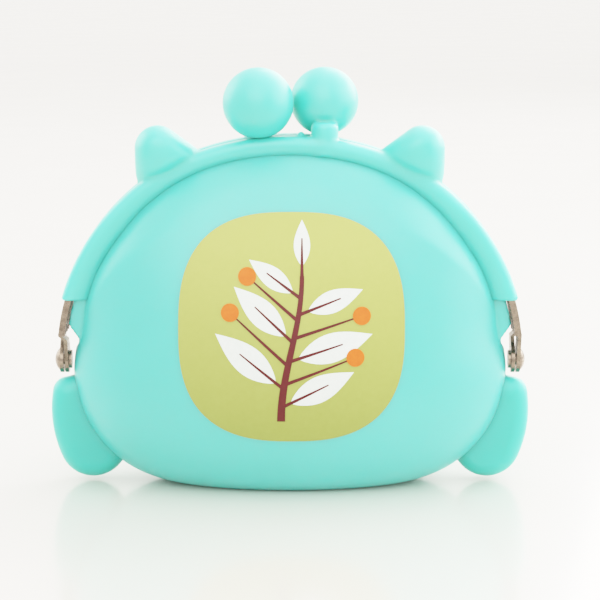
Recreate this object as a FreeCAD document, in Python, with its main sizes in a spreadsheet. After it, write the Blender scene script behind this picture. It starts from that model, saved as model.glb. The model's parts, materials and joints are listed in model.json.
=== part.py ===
import FreeCAD, Part
import math
import os
import Sketcher

# A silicone coin purse that closes with a riveted clasp frame, standing on its base.
# X runs to the right, Y runs away from the viewer, Z is up. The origin is the middle of the base.
# Each jaw is drawn once, as the front one; the rear jaw is the same set turned half round about Z.

SIZES = {
    # the hinge line and the arch that both jaws follow
    "hinge_height": 26.8,
    "arch_lift": 1.2,
    "arch_rise": 48.1,
    "arch_top_radius": 60.0,
    "arch_turn": 18.0,
    # rim sleeves
    "rim_height": 4.0,
    "rim_depth": 6.2,
    "rim_end_rise": 12.6,
    "rim_edge_radius": 1.3,
    "rim_cover": 0.7,
    "mouth_gap": 0.3,
    # pouch
    "groove_width": 2.0,
    "neck_half_gap": 2.5,
    "neck_thickness": 2.0,
    "neck_tail": 5.6,
    "wall": 2.0,
    "belly_arch_drop": 1.5,
    "belly_end_rise": 7.0,
    "waist_trim": 0.55,
    "hip_swell": 1.15,
    "widest_drop": 4.0,
    "belly_half_depth": 22.0,
    "base_half_depth": 9.0,
    "top_half_depth": 5.0,
    "fold_below": 10.8,
    "fold_above": 7.2,
    "slit_rise": 2.0,
    # frames
    "channel_depth": 1.4,
    "channel_width": 4.0,
    "channel_wall": 0.6,
    "channel_end_rise": 4.7,
    "frame_clearance": 0.1,
    "plate_thickness": 0.8,
    "plate_gap": 0.3,
    "joggle_drop": 1.0,
    "eye_radius": 2.9,
    "arm_edge_angle": 30.0,
    # rivets
    "rivet_radius": 1.2,
    "rivet_clearance": 0.05,
    "rivet_end_gap": 0.1,
    "rivet_head_radius": 2.6,
    "rivet_head_height": 1.2,
    "rivet_tail_radius": 2.0,
    "rivet_tail_height": 0.5,
    # clasp
    "ball_radius": 7.4,
    "ball_clearance": 0.2,
    "ball_rise": 7.3,
    "ball_lean": 3.3,
    "stem_radius": 2.95,
    "stem_rise": 2.7,
    "stem_edge_radius": 1.4,
    "post_radius": 1.0,
    "post_foot_radius": 1.3,
    "post_foot_height": 0.5,
    # ears
    "ear_outer": 33.4,
    "ear_inner": 16.0,
    "ear_rise": 2.3,
    "ear_round": 4.9,
    "ear_slope": 36.0,
    "ear_thickness": 5.0,
    "ear_edge_radius": 1.8,
    # wings
    "wing_stand": 4.9,
    "wing_eye_gap": 0.35,
    "wing_floor_gap": 0.8,
    "wing_side_radius": 26.0,
    "wing_tip_radius": 7.5,
    "wing_heel_angle": 140.0,
    "wing_heel_run": 6.0,
    "wing_shoulder_radius": 3.0,
    "wing_shoulder_angle": 10.0,
    "wing_top_slope": 15.0,
    "wing_thickness": 7.0,
    "wing_edge_radius": 2.4,
}

DERIVED = {
    "arch_foot": "sizes.hinge_height + sizes.arch_lift",
    "rim_top": "shape.arch_foot + sizes.arch_rise",
    "top_centre": "shape.rim_top - sizes.arch_top_radius",
    "side_radius": "(sizes.arch_rise - sizes.arch_top_radius * (1 - cos(sizes.arch_turn)))"
                   " / cos(sizes.arch_turn)",
    "side_centre": "(sizes.arch_top_radius - shape.side_radius) * sin(sizes.arch_turn)",
    "rim_middle": "(sizes.mouth_gap + sizes.rim_depth) / 2",
    "widest_height": "shape.arch_foot - sizes.widest_drop",
    "belly_arch_foot": "shape.arch_foot - sizes.belly_arch_drop",
    "fold_low": "sizes.hinge_height - sizes.fold_below",
    "fold_high": "sizes.hinge_height + sizes.fold_above",
    "belly_offset": "sizes.rim_height + sizes.groove_width",
    "belly_top_radius": "sizes.arch_top_radius - shape.belly_offset",
    "belly_side_radius": "(shape.top_centre + shape.belly_top_radius * cos(sizes.arch_turn)"
                         " - shape.belly_arch_foot) / cos(sizes.arch_turn)",
    "belly_side_centre": "(shape.belly_top_radius - shape.belly_side_radius) * sin(sizes.arch_turn)",
    "belly_arch_half_width": "shape.belly_side_centre + shape.belly_side_radius",
    "waist_half_width": "shape.belly_arch_half_width - sizes.waist_trim",
    "bulge_half_width": "shape.belly_arch_half_width + sizes.hip_swell",
    "base_half_width": "shape.bulge_half_width - shape.widest_height",
    "channel_offset": "sizes.rim_cover + sizes.frame_clearance",
    "tunnel_width": "sizes.channel_width + 2 * sizes.frame_clearance",
    "channel_end": "shape.arch_foot + sizes.channel_end_rise",
    "plate_face": "shape.side_centre + sqrt(pow(shape.side_radius - shape.channel_offset; 2)"
                  " - pow(sizes.channel_end_rise; 2))",
    "plate_step": "sizes.plate_thickness + sizes.plate_gap",
    "rivet_tail_face": "shape.plate_face - shape.plate_step - sizes.plate_thickness - sizes.rivet_end_gap",
    "ball_side": "sizes.ball_radius + sizes.ball_clearance / 2",
    "ball_height": "shape.rim_top + sizes.ball_rise",
    "stem_end": "shape.rim_top + sizes.stem_rise",
    "post_seat": "shape.top_centre"
                 " + sqrt(pow(sizes.arch_top_radius - shape.channel_offset - sizes.channel_wall; 2)"
                 " - pow(shape.ball_side + sizes.post_foot_radius; 2))",
    "hole_floor": "shape.post_seat - sizes.post_foot_height",
    "ear_top": "shape.rim_top + sizes.ear_rise",
    "ear_foot": "shape.arch_foot + sqrt(pow(shape.side_radius - sizes.rim_height / 2; 2)"
                " - pow(sizes.ear_outer - shape.side_centre; 2))",
    "wing_reach": "shape.bulge_half_width + sizes.wing_stand",
    "wing_top": "shape.wing_reach - sizes.wing_side_radius"
                " + sizes.wing_shoulder_radius * sin(sizes.wing_top_slope)"
                " + (sizes.wing_side_radius - sizes.wing_shoulder_radius) * cos(sizes.wing_shoulder_angle)",
    "wing_ceiling": "sizes.hinge_height - sizes.eye_radius - sizes.wing_eye_gap",
    "wing_middle": "shape.wing_ceiling - sizes.wing_shoulder_radius * cos(sizes.wing_top_slope)"
                   " - (sizes.wing_side_radius - sizes.wing_shoulder_radius) * sin(sizes.wing_shoulder_angle)"
                   " - (shape.wing_top - shape.rivet_tail_face + sizes.rivet_tail_height)"
                   " * tan(sizes.wing_top_slope)",
    "wing_tip_angle": "asin((shape.wing_middle - sizes.wing_tip_radius - sizes.wing_floor_gap)"
                      " / (sizes.wing_side_radius - sizes.wing_tip_radius))",
}

FRONT_PLANE = FreeCAD.Rotation(FreeCAD.Vector(1, 0, 0), 90)
SIDE_PLANE = FreeCAD.Rotation(FreeCAD.Vector(1, 1, 1), 120)
HALF_TURN = FreeCAD.Rotation(FreeCAD.Vector(0, 0, 1), 180)
NO_TURN = FreeCAD.Rotation()
ALONG_X = FreeCAD.Vector(1, 0, 0)
ALONG_Y = FreeCAD.Vector(0, 1, 0)
REACH = 200
SAME_PLACE = 1e-6

doc = FreeCAD.newDocument("coin_purse")
sheet = doc.addObject("Spreadsheet::Sheet", "sizes")
for row, (name, value) in enumerate(SIZES.items(), start=1):
    sheet.set(f"A{row}", name)
    sheet.set(f"B{row}", str(value))
    sheet.setAlias(f"B{row}", name)
doc.recompute()

shape = doc.addObject("App::VarSet", "shape")
for name, formula in DERIVED.items():
    shape.addProperty("App::PropertyFloat", name, "Derived", "")
    shape.setExpression(name, formula)
    doc.recompute()


def value_of(formula):
    """The number that a sheet formula gives."""
    return float(sheet.evalExpression(formula))


def bind(thing, **formulas):
    """Bind properties to sheet formulas; a double underscore stands for a dot."""
    for name, formula in formulas.items():
        thing.setExpression(name.replace("__", "."), formula)


def close_profile(sketch, corners, arcs):
    """Draw a closed profile in a sketch.

    corners: sheet formulas for each corner, in order. arcs: for the side that leaves each corner, None for a
    straight line or (formula of the radius, 1 for a centre on the left or -1 on the right).
    """
    points = [FreeCAD.Vector(value_of(x), value_of(y), 0) for x, y in corners]
    ends = []
    for number, arc in enumerate(arcs):
        start, finish = points[number], points[(number + 1) % len(points)]
        if arc is None:
            index = sketch.addGeometry(Part.LineSegment(start, finish))
            ends.append((index, 1, 2))
            continue
        formula, hand = arc
        radius = value_of(formula)
        chord = finish - start
        left = FreeCAD.Vector(-chord.y, chord.x, 0).normalize()
        rise = math.sqrt(radius ** 2 - (chord.Length / 2) ** 2)
        centre = (start + finish) * 0.5 + left * (hand * rise)
        first, last = (start, finish) if hand > 0 else (finish, start)
        circle = Part.Circle(centre, FreeCAD.Vector(0, 0, 1), radius)
        index = sketch.addGeometry(Part.ArcOfCircle(circle, circle.parameter(first), circle.parameter(last)))
        ends.append((index, 1, 2) if hand > 0 else (index, 2, 1))
        held = sketch.addConstraint(Sketcher.Constraint("Radius", index, radius))
        sketch.setExpression(f"Constraints[{held}]", formula)
    for number, (index, start, finish) in enumerate(ends):
        follower, follower_start, _ = ends[(number + 1) % len(ends)]
        sketch.addConstraint(Sketcher.Constraint("Coincident", index, finish, follower, follower_start))
    for (index, start, _), (x, y), point in zip(ends, corners, points):
        for kind, formula, distance in (("DistanceX", x, point.x), ("DistanceY", y, point.y)):
            held = sketch.addConstraint(Sketcher.Constraint(kind, -1, 1, index, start, distance))
            sketch.setExpression(f"Constraints[{held}]", formula)


def arch_shoulder(offset):
    """Where the arch, moved inwards by offset, changes from its top arc to its side arc."""
    radius = f"(sizes.arch_top_radius - ({offset}))"
    return f"{radius} * sin(sizes.arch_turn)", f"shape.top_centre + {radius} * cos(sizes.arch_turn)"


def arch_end(offset, rise):
    """The point of the offset arch that lies rise above its foot."""
    reach = f"sqrt(pow(shape.side_radius - ({offset}); 2) - pow({rise}; 2))"
    return f"shape.side_centre + {reach}", f"shape.arch_foot + {rise}"


def left_of(corner):
    """The mirror image of a corner across the middle."""
    return f"-({corner[0]})", corner[1]


def arch_band(sketch, outer, inner, end_rise):
    """The strip between two offset arches, cut level at both ends."""
    outer_end, outer_shoulder = arch_end(outer, end_rise), arch_shoulder(outer)
    inner_end, inner_shoulder = arch_end(inner, end_rise), arch_shoulder(inner)
    corners = [
        outer_end, outer_shoulder, left_of(outer_shoulder), left_of(outer_end),
        left_of(inner_end), left_of(inner_shoulder), inner_shoulder, inner_end,
    ]
    outer_side, outer_top = f"shape.side_radius - ({outer})", f"sizes.arch_top_radius - ({outer})"
    inner_side, inner_top = f"shape.side_radius - ({inner})", f"sizes.arch_top_radius - ({inner})"
    arcs = [
        (outer_side, 1), (outer_top, 1), (outer_side, 1), None,
        (inner_side, -1), (inner_top, -1), (inner_side, -1), None,
    ]
    close_profile(sketch, corners, arcs)


def arch_area(sketch, offset, end_rise):
    """Everything under an offset arch, down to a level line."""
    end, shoulder = arch_end(offset, end_rise), arch_shoulder(offset)
    side, top = f"shape.side_radius - ({offset})", f"sizes.arch_top_radius - ({offset})"
    close_profile(
        sketch, [end, shoulder, left_of(shoulder), left_of(end)], [(side, 1), (top, 1), (side, 1), None],
    )


def loose_sketch(name, plane):
    """A sketch that lies in one of the planes through the origin."""
    sketch = doc.addObject("Sketcher::SketchObject", name)
    sketch.Placement = FreeCAD.Placement(FreeCAD.Vector(), plane)
    return sketch


def front_slab(name, sketch, start, depth):
    """A front-view sketch carried towards the viewer, from start to start + depth in front of the middle."""
    slab = doc.addObject("Part::Extrusion", name)
    slab.Base = sketch
    slab.DirMode = "Custom"
    slab.Dir = FreeCAD.Vector(0, -1, 0)
    slab.Solid = True
    bind(slab, LengthFwd=f"{start} + {depth}", LengthRev=f"-({start})")
    return slab


def both_ways(name, sketch, direction, half_length):
    """A sketch carried equally far to both sides of its plane."""
    slab = doc.addObject("Part::Extrusion", name)
    slab.Base = sketch
    slab.DirMode = "Custom"
    slab.Dir = direction
    slab.Solid = True
    bind(slab, LengthFwd=half_length, LengthRev=half_length)
    return slab


def combine(kind, name, base, tool):
    """A boolean of two solids."""
    result = doc.addObject(kind, name)
    result.Base = base
    result.Tool = tool
    return result


def cut(name, base, tool):
    return combine("Part::Cut", name, base, tool)


def common(name, base, tool):
    return combine("Part::Common", name, base, tool)


def fuse(name, *solids):
    result = doc.addObject("Part::MultiFuse", name)
    result.Shapes = list(solids)
    return result


def half_space(name, low, high, front_only=False):
    """A block between two heights; front_only keeps just the side towards the viewer."""
    block = doc.addObject("Part::Box", name)
    block.Length = REACH
    block.Width = REACH / 2 if front_only else REACH
    bind(block, Height=f"({high}) - ({low})", Placement__Base__z=low)
    block.Placement.Base.x = -REACH / 2
    block.Placement.Base.y = -REACH / 2
    return block


def cylinder_on_x(name, radius, height, start):
    """A round bar along X on the hinge line, starting at x = start."""
    bar = doc.addObject("Part::Cylinder", name)
    bar.Placement.Rotation = FreeCAD.Rotation(FreeCAD.Vector(0, 1, 0), 90)
    bind(bar, Radius=radius, Height=height, Placement__Base__x=start, Placement__Base__z="sizes.hinge_height")
    return bar


def padded_body(name, draw, start, depth, edge_radius):
    """A body drawn in the front view, padded towards the viewer, with its outline rounded front and back."""
    body = doc.addObject("PartDesign::Body", name)
    sketch = body.newObject("Sketcher::SketchObject", f"{name}_outline")
    plane = next(feature for feature in body.Origin.OriginFeatures if feature.Role == "XZ_Plane")
    sketch.AttachmentSupport = [(plane, "")]
    sketch.MapMode = "FlatFace"
    bind(sketch, AttachmentOffset__Base__z=start)
    draw(sketch)
    doc.recompute()
    pad = body.newObject("PartDesign::Pad", f"{name}_pad")
    pad.Profile = sketch
    bind(pad, Length=depth)
    doc.recompute()
    across = [
        f"Edge{number}" for number, edge in enumerate(pad.Shape.Edges, start=1)
        if edge.Curve.TypeId == "Part::GeomCircle"
        and abs(edge.Vertexes[0].Y - edge.Vertexes[-1].Y) < SAME_PLACE
    ]
    rounding = body.newObject("PartDesign::Fillet", f"{name}_rounding")
    rounding.Base = (pad, across)
    bind(rounding, Radius=edge_radius)
    doc.recompute()
    return body


def turned_body(name, corners, arcs, axis):
    """A body of revolution about one of its own axes, from half its section drawn in the front view."""
    body = doc.addObject("PartDesign::Body", name)
    sketch = body.newObject("Sketcher::SketchObject", f"{name}_section")
    plane = next(feature for feature in body.Origin.OriginFeatures if feature.Role == "XZ_Plane")
    sketch.AttachmentSupport = [(plane, "")]
    sketch.MapMode = "FlatFace"
    close_profile(sketch, corners, arcs)
    doc.recompute()
    turned = body.newObject("PartDesign::Revolution", f"{name}_turned")
    turned.Profile = sketch
    turned.ReferenceAxis = (sketch, [axis])
    turned.Angle = 360
    return body


def bulge(name, shrink):
    """The puffed solid of the pouch, through level ovals; shrink is the wall that its inside leaves."""
    lower = [0, 20, 40, 60, 80]
    upper = [0, 22.5, 45, 67.5, 90]
    rise = f"(shape.widest_height - {shrink})"
    base_swell = f"(sizes.belly_half_depth - sizes.base_half_depth - {shrink})"
    top_swell = "(sizes.belly_half_depth - sizes.top_half_depth)"
    ovals = []
    for angle in lower:
        ovals.append((
            f"shape.widest_height - {rise} * cos({angle})",
            f"shape.base_half_width + {rise} * sin({angle})",
            f"sizes.base_half_depth + {base_swell} * sin({angle})",
        ))
    for angle in upper:
        half_width = "shape.waist_half_width" if angle else "shape.bulge_half_width"
        ovals.append((
            f"shape.widest_height + (shape.rim_top - shape.widest_height) * {angle / 90}",
            f"{half_width} - {shrink}",
            f"sizes.top_half_depth + {top_swell} * cos({angle}) - {shrink}",
        ))
    sections = []
    for number, (height, half_width, half_depth) in enumerate(ovals, start=1):
        oval = doc.addObject("Part::Ellipse", f"{name}_oval_{number}")
        bind(oval, MajorRadius=half_width, MinorRadius=half_depth, Placement__Base__z=height)
        sections.append(oval)
    solid = doc.addObject("Part::Loft", name)
    solid.Sections = sections
    solid.Solid = True
    return solid


def belly_outline(sketch, shrink):
    """The front outline of the belly: its arch, flaring clear of the hips and carried down past the base."""
    shoulder_radius = f"(shape.belly_top_radius - {shrink})"
    shoulder = (
        f"{shoulder_radius} * sin(sizes.arch_turn)",
        f"shape.top_centre + {shoulder_radius} * cos(sizes.arch_turn)",
    )
    side_radius = f"(shape.belly_side_radius - {shrink})"
    side = (
        f"shape.belly_side_centre + sqrt(pow({side_radius}; 2) - pow(sizes.belly_end_rise; 2))",
        "shape.belly_arch_foot + sizes.belly_end_rise",
    )
    hip = (f"shape.bulge_half_width + sizes.wall - {shrink}", "shape.widest_height")
    foot = (hip[0], "-sizes.wall")
    right = [foot, hip, side, shoulder]
    left = [left_of(corner) for corner in reversed(right)]
    side_arc = (side_radius, 1)
    arcs = [None, None, side_arc, (shoulder_radius, 1), side_arc, None, None, None]
    close_profile(sketch, right + left, arcs)


def pouch_part(name, shrink):
    """The pouch's outer solid, or with shrink the space inside it."""
    outline = loose_sketch(f"{name}_outline", FRONT_PLANE)
    belly_outline(outline, shrink)
    slab = both_ways(f"{name}_slab", outline, ALONG_Y, "2 * sizes.belly_half_depth")
    return common(name, slab, bulge(f"{name}_bulge", shrink))


def build_pouch():
    """The moulding's pouch: hollow, with a neck along the arch and a slit from hinge to hinge."""
    solid = pouch_part("pouch_solid", "0")
    space = pouch_part("pouch_space", "sizes.wall")
    hollow = cut("pouch_hollow", solid, space)
    neck_outline = loose_sketch("neck_outline", FRONT_PLANE)
    arch_band(
        neck_outline, "sizes.rim_height", "shape.belly_offset + sizes.wall / 2",
        "(sizes.rim_end_rise - sizes.neck_tail)",
    )
    neck = both_ways("neck", neck_outline, ALONG_Y, "sizes.neck_half_gap + sizes.neck_thickness")
    mouth_outline = loose_sketch("mouth_outline", FRONT_PLANE)
    arch_band(
        mouth_outline, "sizes.rim_height / 2", "shape.belly_offset + 2 * sizes.wall", "sizes.slit_rise",
    )
    mouth = both_ways("mouth", mouth_outline, ALONG_Y, "sizes.neck_half_gap")
    shell = cut("pouch_shell", fuse("pouch_with_neck", hollow, neck), mouth)
    base = common("pouch_base", shell, half_space("base_zone", "0", "shape.fold_low"))
    fold = common("pouch_fold", shell, half_space("fold_zone", "shape.fold_low", "shape.fold_high"))
    return solid, shell, [base, fold]


def wing_outline(sketch):
    """The right wing: a drooping leaf of three arcs that touch, running into the pouch."""
    centre = ("shape.wing_reach - sizes.wing_side_radius", "shape.wing_middle")

    def away(point, distance, angle):
        return f"{point[0]} + ({distance}) * cos({angle})", f"{point[1]} + ({distance}) * sin({angle})"

    tip_turn, heel_turn = "(-shape.wing_tip_angle)", "(-sizes.wing_heel_angle)"
    tip_centre = away(centre, "sizes.wing_side_radius - sizes.wing_tip_radius", tip_turn)
    heel = away(tip_centre, "sizes.wing_tip_radius", heel_turn)
    heel_root = away(heel, "sizes.wing_heel_run", f"({heel_turn} - 90)")
    tip_end = away(centre, "sizes.wing_side_radius", tip_turn)
    shoulder = away(centre, "sizes.wing_side_radius", "sizes.wing_shoulder_angle")
    shoulder_centre = away(
        centre, "sizes.wing_side_radius - sizes.wing_shoulder_radius", "sizes.wing_shoulder_angle",
    )
    top = away(shoulder_centre, "sizes.wing_shoulder_radius", "(90 - sizes.wing_top_slope)")
    top_root = (heel_root[0], f"{top[1]} + ({top[0]} - ({heel_root[0]})) * tan(sizes.wing_top_slope)")
    corners = [heel, tip_end, shoulder, top, top_root, heel_root]
    arcs = [("sizes.wing_tip_radius", 1), ("sizes.wing_side_radius", 1), ("sizes.wing_shoulder_radius", 1)]
    close_profile(sketch, corners, arcs + [None, None, None])


def ear_outline(sketch):
    """The right ear: upright on the outside, rounded at the top, sloping down to the rim on the inside."""
    centre = ("sizes.ear_outer - sizes.ear_round", "shape.ear_top - sizes.ear_round")
    crown = (
        f"{centre[0]} - sizes.ear_round * sin(sizes.ear_slope)",
        f"{centre[1]} + sizes.ear_round * cos(sizes.ear_slope)",
    )
    foot = f"{crown[1]} - ({crown[0]} - sizes.ear_inner) * tan(sizes.ear_slope)"
    corners = [
        ("sizes.ear_outer", "shape.ear_foot"),
        ("sizes.ear_outer", centre[1]),
        crown,
        ("sizes.ear_inner", foot),
    ]
    close_profile(sketch, corners, [None, ("sizes.ear_round", 1), None, None])


def arm_profiles(side):
    """The front view of an end plate: straight down on the right, stepped inwards on the left."""
    lap = "shape.channel_end + sizes.channel_wall"
    foot = "sizes.hinge_height - sizes.eye_radius"
    outer, inner = "shape.plate_face", "shape.plate_face - sizes.plate_thickness"
    if side > 0:
        return [(inner, foot), (outer, foot), (outer, lap), (inner, lap)]
    knee = "shape.channel_end - sizes.joggle_drop"
    low_outer, low_inner = f"{outer} - shape.plate_step", f"{inner} - shape.plate_step"
    stepped = [
        (low_inner, foot), (low_outer, foot), (low_outer, knee), (outer, "shape.channel_end"),
        (outer, lap), (inner, lap), (inner, "shape.channel_end"), (low_inner, knee),
    ]
    return [left_of(corner) for corner in stepped]


def arm_side_view(sketch):
    """The side view of an end plate above its eye: it tapers from the channel across to the hinge line."""
    front = "-(shape.rim_middle + sizes.channel_width / 2)"
    rear = "-(shape.rim_middle - sizes.channel_width / 2)"
    lap = "shape.channel_end + sizes.channel_wall"
    corners = [
        ("-sizes.eye_radius", "sizes.hinge_height"),
        (
            "sizes.eye_radius * cos(sizes.arm_edge_angle)",
            "sizes.hinge_height + sizes.eye_radius * sin(sizes.arm_edge_angle)",
        ),
        (rear, "shape.channel_end"), (rear, lap), (front, lap), (front, "shape.channel_end"),
    ]
    close_profile(sketch, corners, [None] * len(corners))


def build_frame(jaw):
    """One frame: a channel bent to the arch, open inwards, with a flat eye plate at each end."""
    web_outline = loose_sketch(f"{jaw}_channel_outline", FRONT_PLANE)
    inner = "shape.channel_offset + sizes.channel_depth"
    arch_band(web_outline, "shape.channel_offset", inner, "sizes.channel_end_rise")
    start = "shape.rim_middle - sizes.channel_width / 2"
    strip = front_slab(f"{jaw}_channel_strip", web_outline, start, "sizes.channel_width")
    hollow_outline = loose_sketch(f"{jaw}_channel_hollow_outline", FRONT_PLANE)
    arch_band(
        hollow_outline, "shape.channel_offset + sizes.channel_wall", f"{inner} + sizes.channel_wall",
        "(sizes.channel_end_rise - sizes.channel_wall)",
    )
    hollow = front_slab(
        f"{jaw}_channel_hollow", hollow_outline, f"{start} + sizes.channel_wall",
        "sizes.channel_width - 2 * sizes.channel_wall",
    )
    channel = cut(f"{jaw}_channel", strip, hollow)
    side_view = loose_sketch(f"{jaw}_arm_side_view", SIDE_PLANE)
    arm_side_view(side_view)
    link = both_ways(f"{jaw}_arm_link", side_view, ALONG_X, str(REACH / 2))
    eye = cylinder_on_x(f"{jaw}_eye_disc", "sizes.eye_radius", str(REACH), str(-REACH / 2))
    arm_shape = fuse(f"{jaw}_arm_shape", link, eye)
    arms = []
    for side, label in ((1, "outer"), (-1, "inner")):
        sketch = loose_sketch(f"{jaw}_{label}_plate_outline", FRONT_PLANE)
        corners = arm_profiles(side)
        if side < 0:
            corners.reverse()
        close_profile(sketch, corners, [None] * len(corners))
        slab = both_ways(f"{jaw}_{label}_plate_slab", sketch, ALONG_Y, "sizes.rim_depth + sizes.eye_radius")
        arms.append(common(f"{jaw}_{label}_plate", slab, arm_shape))
    pressed = fuse(f"{jaw}_pressing", channel, *arms)
    fast_hole = cylinder_on_x(f"{jaw}_fast_hole", "sizes.rivet_radius", str(REACH), "0")
    running_hole = cylinder_on_x(
        f"{jaw}_running_hole", "sizes.rivet_radius + sizes.rivet_clearance", str(REACH), str(-REACH),
    )
    post_hole = doc.addObject("Part::Cylinder", f"{jaw}_post_hole")
    bind(
        post_hole, Radius="sizes.post_radius", Height="shape.rim_top - shape.hole_floor",
        Placement__Base__x="shape.ball_side", Placement__Base__y="-shape.rim_middle",
        Placement__Base__z="shape.hole_floor",
    )
    holes = fuse(f"{jaw}_frame_holes", fast_hole, running_hole, post_hole)
    return cut(f"{jaw}_frame", pressed, holes), post_hole


def build_rim(jaw, post_hole):
    """One rim sleeve: a rounded band on the arch, with a tunnel for the frame and a hole for the post."""
    blank = padded_body(
        f"{jaw}_rim_blank", lambda sketch: arch_band(sketch, "0", "sizes.rim_height", "sizes.rim_end_rise"),
        "sizes.mouth_gap / 2", "sizes.rim_depth", "sizes.rim_edge_radius",
    )
    tunnel_outline = loose_sketch(f"{jaw}_tunnel_outline", FRONT_PLANE)
    tunnel_floor = "sizes.rim_cover + sizes.channel_depth + 2 * sizes.frame_clearance"
    arch_band(tunnel_outline, "sizes.rim_cover", tunnel_floor, "(sizes.rim_end_rise - sizes.rim_cover)")
    tunnel = front_slab(
        f"{jaw}_tunnel", tunnel_outline, "shape.rim_middle - shape.tunnel_width / 2", "shape.tunnel_width",
    )
    return blank, cut(f"{jaw}_rim", blank, fuse(f"{jaw}_rim_space", tunnel, post_hole))


def build_post(jaw):
    """One clasp post: a pin with a foot under the channel, bent over into the ball."""
    spine = doc.addObject("Sketcher::SketchObject", f"{jaw}_post_spine")
    spine.Placement = FreeCAD.Placement(FreeCAD.Vector(), SIDE_PLANE)
    bind(spine, Placement__Base__x="shape.ball_side")
    stations = [
        ("-shape.rim_middle", "shape.post_seat"),
        ("-shape.rim_middle", "shape.rim_top"),
        ("sizes.ball_lean", "shape.ball_height"),
    ]
    points = [FreeCAD.Vector(value_of(y), value_of(z), 0) for y, z in stations]
    for start, finish in zip(points, points[1:]):
        spine.addGeometry(Part.LineSegment(start, finish))
    spine.addConstraint(Sketcher.Constraint("Coincident", 0, 2, 1, 1))
    for (index, end), (y, z), point in zip(((0, 1), (0, 2), (1, 2)), stations, points):
        for kind, formula, distance in (("DistanceX", y, point.x), ("DistanceY", z, point.y)):
            held = spine.addConstraint(Sketcher.Constraint(kind, -1, 1, index, end, distance))
            spine.setExpression(f"Constraints[{held}]", formula)
    ring = doc.addObject("Part::Circle", f"{jaw}_post_section")
    bind(
        ring, Radius="sizes.post_radius", Placement__Base__x="shape.ball_side",
        Placement__Base__y="-shape.rim_middle", Placement__Base__z="shape.post_seat",
    )
    doc.recompute()
    pin = doc.addObject("Part::Sweep", f"{jaw}_post_pin")
    pin.Sections = [ring]
    pin.Spine = (spine, ["Edge1", "Edge2"])
    pin.Solid = True
    pin.Transition = "Round corner"
    foot = doc.addObject("Part::Cylinder", f"{jaw}_post_foot")
    bind(
        foot, Radius="sizes.post_foot_radius", Height="sizes.post_foot_height",
        Placement__Base__x="shape.ball_side", Placement__Base__y="-shape.rim_middle",
        Placement__Base__z="shape.post_seat - sizes.post_foot_height",
    )
    return pin, fuse(f"{jaw}_clasp_post", foot, pin)


def build_ball(jaw, rim_blank, pin):
    """One ball cover: a ball behind an upright stem that grows out of the rim."""
    ball = doc.addObject("Part::Sphere", f"{jaw}_ball")
    bind(
        ball, Radius="sizes.ball_radius", Placement__Base__x="shape.ball_side",
        Placement__Base__y="sizes.ball_lean", Placement__Base__z="shape.ball_height",
    )
    low = "shape.rim_top - sizes.rim_height / 2"
    corners = [
        ("0", low), ("sizes.stem_radius", low),
        ("sizes.stem_radius", "shape.stem_end - sizes.stem_edge_radius"),
        ("sizes.stem_radius - sizes.stem_edge_radius", "shape.stem_end"), ("0", "shape.stem_end"),
    ]
    arcs = [None, None, ("sizes.stem_edge_radius", 1), None, None]
    stem = turned_body(f"{jaw}_stem", corners, arcs, "V_Axis")
    bind(stem, Placement__Base__x="shape.ball_side", Placement__Base__y="-shape.rim_middle")
    cover = fuse(f"{jaw}_ball_solid", ball, stem)
    return cut(f"{jaw}_clasp_ball", cover, fuse(f"{jaw}_ball_space", rim_blank, pin))


def build_rivet(jaw):
    """One hinge rivet: fast in the outer eye, with a domed head outside and a flat tail inside."""
    tail_end = "shape.rivet_tail_face - sizes.rivet_tail_height"
    spread = "pow(sizes.rivet_head_radius; 2) + pow(sizes.rivet_head_height; 2)"
    crown = f"({spread}) / (2 * sizes.rivet_head_height)"
    corners = [
        (tail_end, "0"), ("shape.plate_face + sizes.rivet_head_height", "0"),
        ("shape.plate_face", "sizes.rivet_head_radius"), ("shape.plate_face", "sizes.rivet_radius"),
        ("shape.rivet_tail_face", "sizes.rivet_radius"), ("shape.rivet_tail_face", "sizes.rivet_tail_radius"),
        (tail_end, "sizes.rivet_tail_radius"),
    ]
    rivet = turned_body(f"{jaw}_rivet", corners, [None, (crown, 1), None, None, None, None, None], "H_Axis")
    bind(rivet, Placement__Base__z="sizes.hinge_height")
    return rivet


def build_jaw(jaw, turn, shell):
    """Everything that swings with one jaw, drawn as the front jaw and then turned to its own side."""
    frame, post_hole = build_frame(jaw)
    blank, rim = build_rim(jaw, post_hole)
    pin, post = build_post(jaw)
    ball = build_ball(jaw, blank, pin)
    rivet = build_rivet(jaw)
    zone = half_space(f"{jaw}_panel_zone", "shape.fold_high", "shape.ball_height", front_only=True)
    panel = common(f"{jaw}_panel", shell, zone)
    doc.recompute()
    pieces = [panel, rim, frame, post, ball, rivet]
    for piece in pieces:
        piece.Placement = FreeCAD.Placement(FreeCAD.Vector(), turn)
    return blank, pieces


def mirrored(name, source):
    """The same piece on the left-hand side."""
    copy = doc.addObject("Part::Mirroring", name)
    copy.Source = source
    copy.Normal = ALONG_X
    return copy


pouch_solid, pouch_shell, nodes = build_pouch()
front_blank, front_pieces = build_jaw("front", NO_TURN, pouch_shell)
rear_blank, rear_pieces = build_jaw("rear", HALF_TURN, pouch_shell)
ear_body = padded_body(
    "ear_body", ear_outline, "shape.rim_middle - sizes.ear_thickness / 2", "sizes.ear_thickness",
    "sizes.ear_edge_radius",
)
wing_body = padded_body(
    "wing_body", wing_outline, "-sizes.wing_thickness / 2", "sizes.wing_thickness", "sizes.wing_edge_radius",
)
under_rim_outline = loose_sketch("under_rim_outline", FRONT_PLANE)
arch_area(under_rim_outline, "sizes.rim_height / 2", "sizes.rim_end_rise")
under_rim = front_slab("under_rim", under_rim_outline, "sizes.mouth_gap / 2", "sizes.rim_depth")
right_ear = cut("right_ear", ear_body, fuse("ear_seat", front_blank, under_rim))
right_wing = cut("right_wing", wing_body, pouch_solid)
nodes += front_pieces + rear_pieces
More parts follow.
